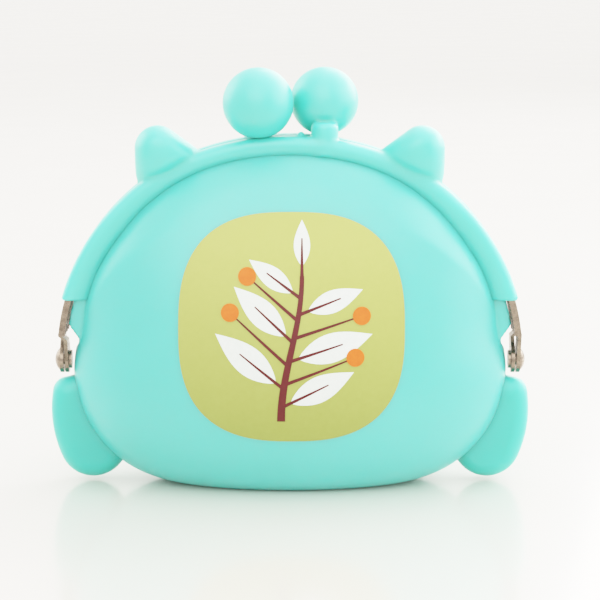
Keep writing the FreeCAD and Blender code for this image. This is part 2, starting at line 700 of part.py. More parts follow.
nodes += [right_ear, mirrored("left_ear", right_ear), right_wing, mirrored("left_wing", right_wing)]
doc.recompute()

for thing in doc.Objects:
    if "Up-to-date" not in thing.State:
        raise RuntimeError(f"{thing.Name} did not build: {thing.State}")
os.makedirs("parts", exist_ok=True)
for node in nodes:
    if not node.Shape.isValid() or len(node.Shape.Solids) != 1:
        raise RuntimeError(f"{node.Name} is not one good solid: {len(node.Shape.Solids)}")
    node.Label = node.Name
    node.Shape.exportStep(f"parts/{node.Label}.step")
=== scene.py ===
import json
import math

import bmesh
import bpy
import numpy as np
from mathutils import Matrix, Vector


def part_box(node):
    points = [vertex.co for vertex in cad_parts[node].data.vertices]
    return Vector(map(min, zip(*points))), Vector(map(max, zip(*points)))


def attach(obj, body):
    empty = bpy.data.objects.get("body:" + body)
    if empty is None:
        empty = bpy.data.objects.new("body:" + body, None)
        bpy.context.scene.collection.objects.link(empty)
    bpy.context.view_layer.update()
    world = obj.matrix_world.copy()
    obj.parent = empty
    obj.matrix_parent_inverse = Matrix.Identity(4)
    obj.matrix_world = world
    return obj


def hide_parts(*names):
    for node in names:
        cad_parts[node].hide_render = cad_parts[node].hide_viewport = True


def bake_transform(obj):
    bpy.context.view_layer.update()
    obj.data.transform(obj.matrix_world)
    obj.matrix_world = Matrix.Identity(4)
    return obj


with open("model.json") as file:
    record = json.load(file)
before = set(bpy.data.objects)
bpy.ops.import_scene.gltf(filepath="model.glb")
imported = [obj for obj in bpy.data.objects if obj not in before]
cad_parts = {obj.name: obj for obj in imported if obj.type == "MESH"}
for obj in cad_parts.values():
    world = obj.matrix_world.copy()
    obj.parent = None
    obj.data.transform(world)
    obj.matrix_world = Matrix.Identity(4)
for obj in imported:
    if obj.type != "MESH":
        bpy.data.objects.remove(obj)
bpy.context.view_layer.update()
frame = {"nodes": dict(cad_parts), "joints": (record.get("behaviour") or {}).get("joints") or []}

# The purse's lengths are in millimetres, in the frame's own axes, and are scaled when a mesh is made.
MM = 0.001


def box_mm(node):
    """A node's lowest and highest corners in millimetres."""
    low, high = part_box(node)
    return np.array(low) / MM, np.array(high) / MM


RIM_LOW, RIM_HIGH = box_mm("front_rim")
BALL_LOW, BALL_HIGH = box_mm("front_clasp_ball")
EAR_HIGH = box_mm("right_ear")[1]
WING_HIGH = box_mm("right_wing")[1]

# the arch: a top arc and two side arcs that touch it
HINGE_HEIGHT = frame["joints"][0]["pos_m"][2] / MM
ARCH_FOOT = HINGE_HEIGHT + 1.2
RIM_TOP = RIM_HIGH[2]
ARCH_RADIUS = 60.0
ARCH_TURN = math.radians(18.0)
ARCH_CENTRE = RIM_TOP - ARCH_RADIUS
ARCH_RISE = RIM_TOP - ARCH_FOOT
SIDE_RADIUS = (ARCH_RISE - ARCH_RADIUS * (1 - math.cos(ARCH_TURN))) / math.cos(ARCH_TURN)
SIDE_CENTRE = (ARCH_RADIUS - SIDE_RADIUS) * math.sin(ARCH_TURN)

# the belly
WALL = 2.0
BELLY_INSET = 6.0
BELLY_LIFT = 0.6
BELLY_ARCH_CENTRE = ARCH_CENTRE + BELLY_LIFT
BELLY_ARCH_FOOT = ARCH_FOOT - 1.5 + BELLY_LIFT
BELLY_FLARE_TOP = ARCH_FOOT + 8.5
BELLY_FLARE = 0.03
BELLY_RADIUS = ARCH_RADIUS - BELLY_INSET
BELLY_SIDE_RADIUS = (BELLY_ARCH_CENTRE - BELLY_ARCH_FOOT) / math.cos(ARCH_TURN) + BELLY_RADIUS
BELLY_SIDE_CENTRE = (BELLY_RADIUS - BELLY_SIDE_RADIUS) * math.sin(ARCH_TURN)
WIDEST_HEIGHT = ARCH_FOOT - 3.5
WAIST_HEIGHT = ARCH_FOOT + 9.0
HIP_HALF_WIDTH = BELLY_SIDE_CENTRE + BELLY_SIDE_RADIUS + 0.95
WAIST_HALF_WIDTH = BELLY_SIDE_CENTRE + BELLY_SIDE_RADIUS - 0.55
BELLY_HALF_DEPTH = 22.0
BASE_HALF_WIDTH = HIP_HALF_WIDTH - WIDEST_HEIGHT
BASE_HALF_DEPTH = 11.0
BASE_EASE = 1.02
TOP_HALF_DEPTH = 5.0
SHOULDER_ROUNDING = 1.3
SHOULDER_SWELL = 1.4
SHOULDER_DEPTH = 5.4
SHOULDER_SLOPE = 1.7
SHOULDER_START = ARCH_FOOT + 11.0
SHOULDER_RUN = 18.0
BELLY_CREST = 0.10
BELLY_CREST_START = ARCH_FOOT + 26.0
BELLY_CREST_EASE = 4.0

# the rim sleeves
RIM_HEIGHT = 4.0
RIM_MIDDLE = (RIM_HIGH[1] + RIM_LOW[1]) / 2
RIM_ROUNDING = 1.7
RIM_MOUTH_ROUNDING = 1.0
RIM_END = RIM_LOW[2]
RIM_END_ROUNDING = 0.6
RIM_FOOT = 6.5
RIM_FOOT_COVER = 0.7
RIM_FALL = 0.085
RIM_CURL = 0.10
RIM_CURL_START = ARCH_FOOT + 28.0
RIM_CURL_RUN = 14.0

# the neck and the mouth
NECK_INNER = 2.5
NECK_OUTER = 4.5
NECK_EDGE = 2.7
NECK_BARE_TOP = RIM_END + 1.0
NECK_TAIL = ARCH_FOOT + 7.2
NECK_TAPER = 0.8
GROOVE_ROUNDING = 0.6
MOUTH_INSET = 6.0
MOUTH_REACH = 4.0
SLIT_END = ARCH_FOOT + 2.0

# the clasp
BALL_RADIUS = (BALL_HIGH[0] - BALL_LOW[0]) / 2
BALL_DROP = 0.2
BALL_MIDDLE = np.array([
    (BALL_HIGH[0] + BALL_LOW[0]) / 2, BALL_HIGH[1] - BALL_RADIUS, BALL_HIGH[2] - BALL_RADIUS - BALL_DROP,
])
REAR_BALL_EXTRA = 0.25
REAR_BALL_SHIFT = 0.7
STEM_RADIUS = 2.95
STEM_TOP = RIM_TOP + 3.0
STEM_EDGE = 1.3
STEM_BLEND = 0.6
NUB_PLACE = np.array([2.4, RIM_MIDDLE + 1.2, RIM_TOP + 0.1])
NUB_RADIUS = 0.75

# the ears
EAR_ROUNDING = 4.9
EAR_SLOPE = math.radians(36.0)
EAR_FRONT = 3.05
EAR_BACK = 2.4
EAR_FRONT_EDGE = 3.2
EAR_BACK_EDGE = 1.9
EAR_BULGE = 2.3
EAR_BULGE_RADIUS = 6.3
EAR_BULGE_MIDDLE = np.array([EAR_HIGH[0] - 5.7, EAR_HIGH[2] - 4.9])
EAR_BULGE_LEAST = -1.5
EAR_BLEND = 0.8

# the wings
WING_SIDE_RADIUS = 26.0
WING_TIP_RADIUS = 7.5
WING_TIP_TURN = math.radians(-24.0)
WING_HEEL_TURN = math.radians(-140.0)
WING_SHOULDER_RADIUS = 3.0
WING_SHOULDER_TURN = math.radians(10.0)
WING_TOP_TURN = math.radians(75.0)
WING_MIDDLE = np.array([WING_HIGH[0] - WING_SIDE_RADIUS, HINGE_HEIGHT - 11.1])
WING_HALF_THICKNESS = 3.7
WING_EDGE = 3.4

# the meshes: a cell's side, and what is added round a search box and at a cut
CELL = 0.6
SPARE = 2 * CELL
NEAR_ZERO = 1e-9

# The fields: each gives roughly the distance from a solid's surface, negative inside it


def round_intersection(first, second, radius):
    """The common part of two solids given as distances, with the edge between them rounded."""
    corner = np.hypot(np.maximum(first + radius, 0), np.maximum(second + radius, 0))
    return np.minimum(-radius, np.maximum(first, second)) + corner


def round_union(first, second, radius):
    """Two solids joined, with a fillet in the corner between them."""
    corner = np.hypot(np.maximum(radius - first, 0), np.maximum(radius - second, 0))
    return np.maximum(radius, np.minimum(first, second)) - corner


def arch_inset(x, z, top_radius, top_height, side_radius, side_centre, side_height):
    """How far a point lies inside an arch made of a top arc and two side arcs."""
    across = np.abs(x)
    on_top = (across - side_centre) * math.cos(ARCH_TURN) < (z - side_height) * math.sin(ARCH_TURN)
    top = top_radius - np.hypot(across, z - top_height)
    side = side_radius - np.hypot(across - side_centre, z - side_height)
    return np.where(on_top, top, side)


def rim_inset(x, z):
    """How far a point lies inside the rim's outer edge."""
    return arch_inset(x, z, ARCH_RADIUS, ARCH_CENTRE, SIDE_RADIUS, SIDE_CENTRE, ARCH_FOOT)


def belly_inset(x, z):
    """How far a point lies inside the belly's arch, which flares at the hips and crests under the rim."""
    inset = arch_inset(
        x, z, BELLY_RADIUS, BELLY_ARCH_CENTRE, BELLY_SIDE_RADIUS, BELLY_SIDE_CENTRE, BELLY_ARCH_FOOT,
    )
    above = z - BELLY_CREST_START
    crest = BELLY_CREST * (np.hypot(above, BELLY_CREST_EASE) + above) / 2
    return inset + crest + BELLY_FLARE * np.maximum(BELLY_FLARE_TOP - z, 0) ** 2


def belly_oval(z, wall):
    """Half width and half depth of the belly at each height, on the wall's outside or inside."""
    rise = WIDEST_HEIGHT - wall
    drop = np.clip((WIDEST_HEIGHT - z) / rise, 0, 1)
    swell = np.sqrt(1 - drop ** 2)
    climb = np.clip((z - WIDEST_HEIGHT) / (RIM_TOP - WIDEST_HEIGHT), 0, 1)
    lower = BASE_HALF_DEPTH + (BELLY_HALF_DEPTH - BASE_HALF_DEPTH - wall) * swell
    upper = TOP_HALF_DEPTH + (BELLY_HALF_DEPTH - TOP_HALF_DEPTH) * np.cos(climb * math.pi / 2) - wall
    ease = np.clip((z - WIDEST_HEIGHT) / (WAIST_HEIGHT - WIDEST_HEIGHT), 0, 1)
    ease = ease * ease * (3 - 2 * ease)
    flank = HIP_HALF_WIDTH - wall + (WAIST_HALF_WIDTH - HIP_HALF_WIDTH) * ease
    low = z < WIDEST_HEIGHT
    return np.where(low, BASE_HALF_WIDTH + rise * swell, flank), np.where(low, lower, upper)


def belly_bulge(x, y, z, wall):
    """The belly's puffed front and back with its flat base, on the wall's outside or inside."""
    reach, depth = belly_oval(z, wall)
    near = np.sqrt((x / reach) ** 2 + (y / depth) ** 2)
    steep = np.sqrt((x / reach ** 2) ** 2 + (y / depth ** 2) ** 2) + NEAR_ZERO
    level = near * (near - 1) / steep
    drop = np.clip((WIDEST_HEIGHT - z) / (WIDEST_HEIGHT - wall), 0, 1)
    return np.maximum(level * np.sqrt(BASE_EASE - drop ** 2), wall - z)


def belly_front(x, z):
    """How far the belly's outside stands in front of the middle at a place in the front view."""
    reach, depth = belly_oval(z, 0.0)
    return depth * np.sqrt(np.clip(1 - (x / reach) ** 2, 0, 1))


def crown_share(z):
    """How far a height lies towards the crown: 0 beside the hinges, 1 well above them."""
    return np.clip((z - SHOULDER_START) / SHOULDER_RUN, 0, 1)


def belly_edge(x, y, z):
    """The belly's edge: upright beside the hinges, a bevel under the rim."""
    inset = belly_inset(x, z)
    bevel = (np.abs(y) - SHOULDER_DEPTH - SHOULDER_SLOPE * inset) / math.hypot(1, SHOULDER_SLOPE)
    share = crown_share(z)
    return share * bevel - (1 - share) * inset


def belly_solid(x, y, z, wall=0.0):
    """The belly as if it were full, or the room inside its wall, rounded where front and edge meet."""
    rounding = SHOULDER_ROUNDING + SHOULDER_SWELL * crown_share(z)
    return round_intersection(belly_bulge(x, y, z, wall), wall + belly_edge(x, y, z), rounding)


def pouch_shell(x, y, z):
    """The hollow belly with its neck, open along the mouth."""
    hollow = np.maximum(belly_solid(x, y, z), -belly_solid(x, y, z, WALL))
    inset = rim_inset(x, z)
    bare_edge = NECK_EDGE + NECK_TAPER * np.maximum(NECK_TAIL - z, 0)
    outer_edge = np.where(z > NECK_BARE_TOP, RIM_HEIGHT / 2, bare_edge)
    neck = np.maximum(outer_edge - inset, inset - BELLY_INSET - WALL / 2)
    neck = np.maximum(neck, np.maximum(NECK_INNER - np.abs(y), np.abs(y) - NECK_OUTER))
    whole = round_union(hollow, neck, GROOVE_ROUNDING)
    mouth = np.abs(inset - MOUTH_INSET) - MOUTH_REACH
    mouth = np.maximum(mouth, np.maximum(np.abs(y) - NECK_INNER, SLIT_END - z))
    return np.maximum(whole, -mouth)


def front_pouch(x, y, z):
    """The pouch's front half, with a little to spare where it is cut off flat."""
    return np.maximum(pouch_shell(x, y, z), y - SPARE)


def rear_pouch(x, y, z):
    """The pouch's rear half, with a little to spare where it is cut off flat."""
    return np.maximum(pouch_shell(x, y, z), -y - SPARE)


def rim_bar(x, y, z):
    """The front rim sleeve, with a foot that slopes back to the belly, more steeply over the crown."""
    inset = rim_inset(x, z)
    below = np.maximum(inset - RIM_ROUNDING, 0)
    fall = RIM_FALL + RIM_CURL * np.clip((z - RIM_CURL_START) / RIM_CURL_RUN, 0, 1)
    front = (RIM_LOW[1] - y + fall * below ** 2) / np.hypot(1, 2 * fall * below)
    body = round_intersection(front, -inset, RIM_ROUNDING)
    bar = round_intersection(body, y - RIM_HIGH[1], RIM_MOUTH_ROUNDING)
    bar = round_intersection(bar, inset - RIM_HEIGHT, RIM_MOUTH_ROUNDING)
    foot = np.maximum(body, np.maximum(inset - RIM_FOOT, y + NECK_INNER + RIM_FOOT_COVER))
    return round_intersection(np.minimum(bar, foot), RIM_END - z, RIM_END_ROUNDING)


def clasp_ball(x, y, z, extra=0.0):
    """The front jaw's stem, with the ball behind it."""
    stem = np.hypot(x - BALL_MIDDLE[0], y - RIM_MIDDLE) - STEM_RADIUS
    stem = round_intersection(stem, z - STEM_TOP, STEM_EDGE)
    stem = np.maximum(stem, RIM_TOP - RIM_HEIGHT - z)
    ball = np.sqrt((x - BALL_MIDDLE[0]) ** 2 + (y - BALL_MIDDLE[1]) ** 2 + (z - BALL_MIDDLE[2]) ** 2)
    return round_union(stem, ball - BALL_RADIUS - extra, STEM_BLEND)


def moulding_nub(x, y, z):
    """The small nub that the mould's gate leaves on the rim."""
    return np.sqrt(sum((p - c) ** 2 for p, c in zip((x, y, z), NUB_PLACE))) - NUB_RADIUS


def ears(x, y, z):
    """Both ears: upright outside, round on top, sloping down to the rim inside, and puffed out in front."""
    across = np.abs(x) - (EAR_HIGH[0] - EAR_ROUNDING)
    up = z - (EAR_HIGH[2] - EAR_ROUNDING)
    slope = up * math.cos(EAR_SLOPE) - across * math.sin(EAR_SLOPE)
    on_crown = (up > 0) & (across * math.cos(EAR_SLOPE) + up * math.sin(EAR_SLOPE) > 0)
    outline = np.where(on_crown, np.hypot(across, up), np.maximum(across, slope)) - EAR_ROUNDING
    outline = np.maximum(outline, rim_inset(x, z) - RIM_HEIGHT / 2)
    middle = EAR_BULGE_MIDDLE
    off_middle = ((np.abs(x) - middle[0]) ** 2 + (z - middle[1]) ** 2) / EAR_BULGE_RADIUS ** 2
    front = RIM_MIDDLE - y - EAR_FRONT - EAR_BULGE * np.maximum(1 - off_middle, EAR_BULGE_LEAST)
    rounded = round_intersection(outline, front, EAR_FRONT_EDGE)
    return round_intersection(rounded, y - RIM_MIDDLE - EAR_BACK, EAR_BACK_EDGE)


def front_sleeve(x, y, z):
    """The front rim with its ears, stem and ball grown together."""
    solid = round_union(rim_bar(x, y, z), ears(x, y, z), EAR_BLEND)
    solid = round_union(solid, moulding_nub(x, y, z), NUB_RADIUS / 2)
    return round_union(solid, clasp_ball(x, y, z), STEM_BLEND)


def rear_sleeve(x, y, z):
    """The rear rim: the front one turned half round, without ears."""
    ball = clasp_ball(REAR_BALL_SHIFT - x, -y, z, REAR_BALL_EXTRA)
    return round_union(rim_bar(-x, -y, z), ball, STEM_BLEND)


def rounded_corner(outline, across, up, centre, radius, first, last):
    """Replace an outline's corner by an arc about centre, between two directions."""
    right, rise = across - centre[0], up - centre[1]
    after_first = rise * math.cos(first) - right * math.sin(first) > 0
    before_last = rise * math.cos(last) - right * math.sin(last) < 0
    return np.where(after_first & before_last, np.hypot(right, rise) - radius, outline)


def wing_field(side):
    """A wing flap: a drooping leaf that grows out of the pouch's side."""
    def towards(turn, distance):
        return WING_MIDDLE + distance * np.array([math.cos(turn), math.sin(turn)])

    tip = towards(WING_TIP_TURN, WING_SIDE_RADIUS - WING_TIP_RADIUS)
    shoulder = towards(WING_SHOULDER_TURN, WING_SIDE_RADIUS - WING_SHOULDER_RADIUS)

    def field(x, y, z):
        across = side * x
        outer = np.hypot(across - WING_MIDDLE[0], z - WING_MIDDLE[1]) - WING_SIDE_RADIUS
        over = (across - shoulder[0]) * math.cos(WING_TOP_TURN) + (z - shoulder[1]) * math.sin(WING_TOP_TURN)
        under = (across - tip[0]) * math.cos(WING_HEEL_TURN) + (z - tip[1]) * math.sin(WING_HEEL_TURN)
        outline = np.maximum(outer, np.maximum(over - WING_SHOULDER_RADIUS, under - WING_TIP_RADIUS))
        outline = rounded_corner(
            outline, across, z, shoulder, WING_SHOULDER_RADIUS, WING_SHOULDER_TURN, WING_TOP_TURN,
        )
        outline = rounded_corner(outline, across, z, tip, WING_TIP_RADIUS, WING_HEEL_TURN, WING_TIP_TURN)
        leaf = round_intersection(outline, np.abs(y) - WING_HALF_THICKNESS, WING_EDGE)
        return np.maximum(leaf, -belly_solid(x, y, z) - WALL / 2)

    return field


# From fields to meshes

CELL_CORNERS = 8
CELLS_ROUND_EDGE = ((0, 0), (1, 0), (1, 1), (0, 1))
SETTLE_ROUNDS = 4
SETTLE_SHARE = 0.6
SETTLE_STEPS = 2
PROBE = 0.05
LEAST_SLOPE = 0.05
SHARP_ANGLE = math.radians(60.0)
# the pouch halves meet only below this height
CUT_TOP = 60.0
CUT_MERGE = 1e-6


def surface_of(field, low, high):
    """Points and quads of a field's zero surface: one point in each crossed cell, settled onto it."""
    axes = [np.arange(a - SPARE, b + SPARE, CELL) for a, b in zip(low, high)]
    inside = field(*np.meshgrid(*axes, indexing="ij")) < 0
    size = np.array(inside.shape)
    count = np.zeros(size - 1, int)
    for corner in np.ndindex(2, 2, 2):
        count += inside[tuple(slice(c, c + n - 1) for c, n in zip(corner, size))]
    crossed = (count > 0) & (count < CELL_CORNERS)
    number = np.full(crossed.shape, -1)
    number[crossed] = np.arange(crossed.sum())
    points = np.array([a[0] for a in axes]) + (np.argwhere(crossed) + 0.5) * CELL
    quads = []
    for axis in range(3):
        first = np.moveaxis(inside, axis, 0)[:-1]
        second = np.moveaxis(inside, axis, 0)[1:]
        edges = np.argwhere(first != second)
        leaving = first[tuple(edges.T)]
        cells = np.moveaxis(number, axis, 0)
        around = [cells[edges[:, 0], edges[:, 1] - a, edges[:, 2] - b] for a, b in CELLS_ROUND_EDGE]
        ring = np.stack(around, axis=1)
        if axis == 1:
            leaving = ~leaving
        ring[~leaving] = ring[~leaving][:, ::-1]
        quads.append(ring)
    quads = np.concatenate(quads)
    return settle(field, points, quads), quads


def settle(field, points, quads):
    """Even out the points' spacing and move them onto the field's surface."""
    edges = np.concatenate([quads[:, [a, (a + 1) % 4]] for a in range(4)])
    weight = np.bincount(edges.ravel(), minlength=len(points))[:, None]
    for _ in range(SETTLE_ROUNDS):
        total = np.zeros_like(points)
        np.add.at(total, edges[:, 0], points[edges[:, 1]])
        np.add.at(total, edges[:, 1], points[edges[:, 0]])
        points = (1 - SETTLE_SHARE) * points + SETTLE_SHARE * total / weight
        for _ in range(SETTLE_STEPS):
            points = onto_surface(field, points)
    return points


def onto_surface(field, points):
    """One step down the field's slope, no longer than half a cell."""
    value = field(*points.T)
    slope = np.stack([
        (field(*(points + shift).T) - field(*(points - shift).T)) / (2 * PROBE)
        for shift in np.eye(3) * PROBE
    ], axis=1)
    length = np.maximum((slope ** 2).sum(1), LEAST_SLOPE)
    return points - np.clip(value / length, -CELL / 2, CELL / 2)[:, None] * slope


def smooth(mesh):
    """Shade a mesh smooth, apart from its sharp edges."""
    mesh.shade_smooth()
    mesh.set_sharp_from_angle(angle=SHARP_ANGLE)


def mesh_object(name, points, faces, material):
    """A new smooth-shaded object from points in millimetres."""
    mesh = bpy.data.meshes.new(name)
    mesh.from_pydata((np.asarray(points) * MM).tolist(), [], [list(map(int, face)) for face in faces])
    mesh.validate()
    smooth(mesh)
    mesh.materials.append(material)
    obj = bpy.data.objects.new(name, mesh)
    bpy.context.scene.collection.objects.link(obj)
    return obj


def cut_at_middle(obj, keep):
    """Cut a pouch half off flat where it meets the other, and close the cut. keep is -1 for the front."""
    shape = bmesh.new()
    shape.from_mesh(obj.data)
    verts = [v for v in shape.verts if v.co.z < CUT_TOP * MM]
    near = set(verts)
    edges = [e for e in shape.edges if e.verts[0] in near and e.verts[1] in near]
    faces = [f for f in shape.faces if all(v in near for v in f.verts)]
    bmesh.ops.bisect_plane(
        shape, geom=verts + edges + faces, dist=CUT_MERGE,
        plane_co=(0, 0, 0), plane_no=(0, -keep, 0), clear_outer=True,
    )
    rim = [e for e in shape.edges if len(e.link_faces) == 1]
    bmesh.ops.triangle_fill(shape, edges=rim, use_beauty=True)
    bmesh.ops.recalc_face_normals(shape, faces=shape.faces)
    shape.to_mesh(obj.data)
    shape.free()
    smooth(obj.data)


# Materials


def new_material(name):
    """A node material, its tree and its main shader."""
    material = bpy.data.materials.new(name)
    material.use_nodes = True
    tree = material.node_tree
    shader = next(node for node in tree.nodes if node.type == "BSDF_PRINCIPLED")
    return material, tree, shader


def noise(tree, scale, detail=3.0, roughness=0.5):
    """A noise texture in the object's own coordinates."""
    place = tree.nodes.new("ShaderNodeTexCoord")
    texture = tree.nodes.new("ShaderNodeTexNoise")
    texture.inputs["Scale"].default_value = scale
    texture.inputs["Detail"].default_value = detail
    texture.inputs["Roughness"].default_value = roughness
    tree.links.new(place.outputs["Object"], texture.inputs["Vector"])
    return texture.outputs["Fac"]


def ramp(tree, source, stops):
    """A colour ramp: stops are pairs of position and colour."""
    node = tree.nodes.new("ShaderNodeValToRGB")
    elements = node.color_ramp.elements
    while len(elements) < len(stops):
        elements.new(0.5)
    for element, (position, colour) in zip(elements, stops):
        element.position = position
        element.color = (*colour, 1.0)
    tree.links.new(source, node.inputs["Fac"])
    return node.outputs["Color"]


def bump(tree, shader, height, strength, distance):
    """A fine relief on the shader's surface."""
    node = tree.nodes.new("ShaderNodeBump")
    node.inputs["Strength"].default_value = strength
    node.inputs["Distance"].default_value = distance
    tree.links.new(height, node.inputs["Height"])
    tree.links.new(node.outputs["Normal"], shader.inputs["Normal"])


def spread(tree, source, low, high):
    """A value between low and high from a texture that runs from about 0.3 to 0.7."""
    node = tree.nodes.new("ShaderNodeMapRange")
    node.inputs["From Min"].default_value = 0.3
    node.inputs["From Max"].default_value = 0.7
    node.inputs["To Min"].default_value = low
    node.inputs["To Max"].default_value = high
    tree.links.new(source, node.inputs["Value"])
    return node.outputs["Result"]


def height_share(tree, low, high):
    """A value that runs from 0 to 1 between two heights in millimetres."""
    place = tree.nodes.new("ShaderNodeTexCoord")
    split = tree.nodes.new("ShaderNodeSeparateXYZ")
    tree.links.new(place.outputs["Object"], split.inputs["Vector"])
    share = tree.nodes.new("ShaderNodeMapRange")
    share.inputs["From Min"].default_value = low * MM
    share.inputs["From Max"].default_value = high * MM
    tree.links.new(split.outputs["Z"], share.inputs["Value"])
    return share.outputs["Result"]


def silicone_material(name, gloss, dark, light):
    """Satin mint-green silicone: soft light through it, faint cloudiness and a fine moulded grain."""
    material, tree, shader = new_material(name)
    colour = ramp(tree, noise(tree, scale=38.0, detail=4.0), [(0.30, dark), (0.70, light)])
    tree.links.new(colour, shader.inputs["Base Color"])
    tree.links.new(spread(tree, noise(tree, scale=160.0), 0.44, 0.56), shader.inputs["Roughness"])
    shader.inputs["Specular IOR Level"].default_value = 0.3
    shader.inputs["IOR"].default_value = 1.41
    shader.inputs["Subsurface Weight"].default_value = 0.85
    shader.inputs["Subsurface Radius"].default_value = (0.18, 1.0, 0.9)
    shader.inputs["Subsurface Scale"].default_value = 0.006
    shader.inputs["Coat Weight"].default_value = 1.0
    shader.inputs["Coat Roughness"].default_value = 0.42
    shader.inputs["Coat IOR"].default_value = gloss
    bump(tree, shader, noise(tree, scale=2600.0, detail=2.0), strength=0.10, distance=0.00012)
    return material


def nickel_material():
    """Nickel-plated steel: warm grey, finely rough, duller in patches."""
    material, tree, shader = new_material("nickel_plate")
    patches = noise(tree, scale=420.0, detail=5.0, roughness=0.6)
    colour = ramp(tree, patches, [(0.30, (0.13, 0.10, 0.075)), (0.68, (0.33, 0.27, 0.21))])
    tree.links.new(colour, shader.inputs["Base Color"])
    shader.inputs["Metallic"].default_value = 1.0
    tree.links.new(spread(tree, noise(tree, scale=1500.0), 0.18, 0.36), shader.inputs["Roughness"])
    bump(tree, shader, noise(tree, scale=2200.0), strength=0.20, distance=0.0001)
    return material


def ink_finish(tree, shader, least_rough, most_rough):
    """The matt finish that every printing ink has."""
    rough = spread(tree, noise(tree, scale=300.0), least_rough, most_rough)
    tree.links.new(rough, shader.inputs["Roughness"])
    shader.inputs["Specular IOR Level"].default_value = 0.3
    bump(tree, shader, noise(tree, scale=3000.0, detail=2.0), strength=0.10, distance=0.0001)


def ink_material(name, dark, light):
    """Printing ink on silicone: a thin matt film with faint mottling."""
    material, tree, shader = new_material(name)
    mottle = noise(tree, scale=900.0, detail=5.0, roughness=0.65)
    tree.links.new(ramp(tree, mottle, [(0.30, dark), (0.70, light)]), shader.inputs["Base Color"])
    ink_finish(tree, shader, 0.42, 0.55)
    return material


def patch_material():
    """The pale yellow ink of the patch, with painted shade: a little darker towards the base."""
    material, tree, shader = new_material("yellow_ink_painted_shade")
    mottle = tree.nodes.new("ShaderNodeMath")
    mottle.operation = "MULTIPLY_ADD"
    mottle.inputs[1].default_value = 0.3
    tree.links.new(noise(tree, scale=700.0, detail=5.0, roughness=0.6), mottle.inputs[0])
    # painted shade: the ink's colour is darkened towards the base by height
    tree.links.new(height_share(tree, low=12.0, high=62.0), mottle.inputs[2])
    colour = ramp(tree, mottle.outputs["Value"], [(0.15, (0.28, 0.325, 0.066)), (1.0, (0.405, 0.44, 0.115))])
    tree.links.new(colour, shader.inputs["Base Color"])
    ink_finish(tree, shader, 0.45, 0.58)
    return material


def floor_material():
    """A pale polished table top."""
    material, tree, shader = new_material("pale_table")
    cloud = noise(tree, scale=3.0, detail=2.0)
    colour = ramp(tree, cloud, [(0.3, (0.755, 0.715, 0.66)), (0.7, (0.785, 0.75, 0.70))])
    tree.links.new(colour, shader.inputs["Base Color"])
    tree.links.new(spread(tree, noise(tree, scale=25.0), 0.11, 0.15), shader.inputs["Roughness"])
    shader.inputs["IOR"].default_value = 1.5
    shader.inputs["Coat Weight"].default_value = 0.6
    shader.inputs["Coat Roughness"].default_value = 0.3
    return material


silicone = silicone_material("mint_silicone", 1.75, (0.050, 0.580, 0.500), (0.065, 0.615, 0.540))
# The wings' silicone is the body's silicone with a darker colour, painted shade for the shade that falls on
# the wings beside the belly, and a weaker coat.
wing_silicone_painted_shade = silicone_material("mint_silicone_painted_shade", 1.5, (0.035, 0.510, 0.430), (0.048, 0.540, 0.460))
nickel = nickel_material()
patch_ink = patch_material()
maroon_ink = ink_material("maroon_ink", (0.085, 0.004, 0.005), (0.110, 0.006, 0.007))
white_ink = ink_material("white_ink", (0.70, 0.77, 0.74), (0.76, 0.82, 0.79))
orange_ink = ink_material("orange_ink", (0.62, 0.12, 0.010), (0.70, 0.15, 0.014))

# The silicone: each piece's surface is looked for between two corners

FRONT_HALF = ((-51, -24, 0), (51, 2, 78))
REAR_HALF = ((-51, -2, 0), (51, 24, 78))
FRONT_SLEEVE = ((-53, -10, 30), (53, 12, 92))
REAR_SLEEVE = ((-53, -12, 30), (53, 10, 92))
LEFT_WING = ((-54, -5, 0), (-34, 5, 28))
RIGHT_WING = ((34, -5, 0), (54, 5, 28))


def pouch_half(name, field, box, keep, panel):
    """One half of the pouch, cut off flat where it meets the other; the base, fold and panel that it replaces
    are hidden.
    """
    obj = mesh_object(name, *surface_of(field, *box), silicone)
    cut_at_middle(obj, keep)
    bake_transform(obj)
    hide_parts("pouch_base", "pouch_fold", panel)


def sleeve(name, field, box, jaw, nodes):
    """One jaw's rim sleeve with all that stands on it."""
    obj = mesh_object(name, *surface_of(field, *box), silicone)
    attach(obj, jaw)
    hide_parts(*nodes)


pouch_half("front_pouch_half", front_pouch, FRONT_HALF, -1, "front_panel")
pouch_half("rear_pouch_half", rear_pouch, REAR_HALF, 1, "rear_panel")
sleeve(
    "front_rim_sleeve", front_sleeve, FRONT_SLEEVE, "front_jaw",
    ["front_rim", "front_clasp_ball", "left_ear", "right_ear"],
)
sleeve("rear_rim_sleeve", rear_sleeve, REAR_SLEEVE, "rear_jaw", ["rear_rim", "rear_clasp_ball"])
for label, side, box in (("left", -1, LEFT_WING), ("right", 1, RIGHT_WING)):
    wing = mesh_object(f"{label}_wing_flap", *surface_of(wing_field(side), *box), wing_silicone_painted_shade)
    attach(wing, "pouch")
    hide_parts(f"{label}_wing")

# The print: a leafy sprig on a pale patch

PATCH_MIDDLE = np.array([0.4, 36.8])
PATCH_HALF = np.array([24.0, 24.0])
PATCH_SQUARENESS = 2.7
PATCH_RINGS = 26
SPRIG_FOOT = -19.5
SPRIG_LENGTH = 30.5
SPRIG_SWAY = 2.2
SPRIG_PROBE = 0.01
SPRIG_WIDTH = 1.7
SPRIG_TAPER = 0.8
STALK_WIDTH = 0.75
STALK_TAPER = 0.5
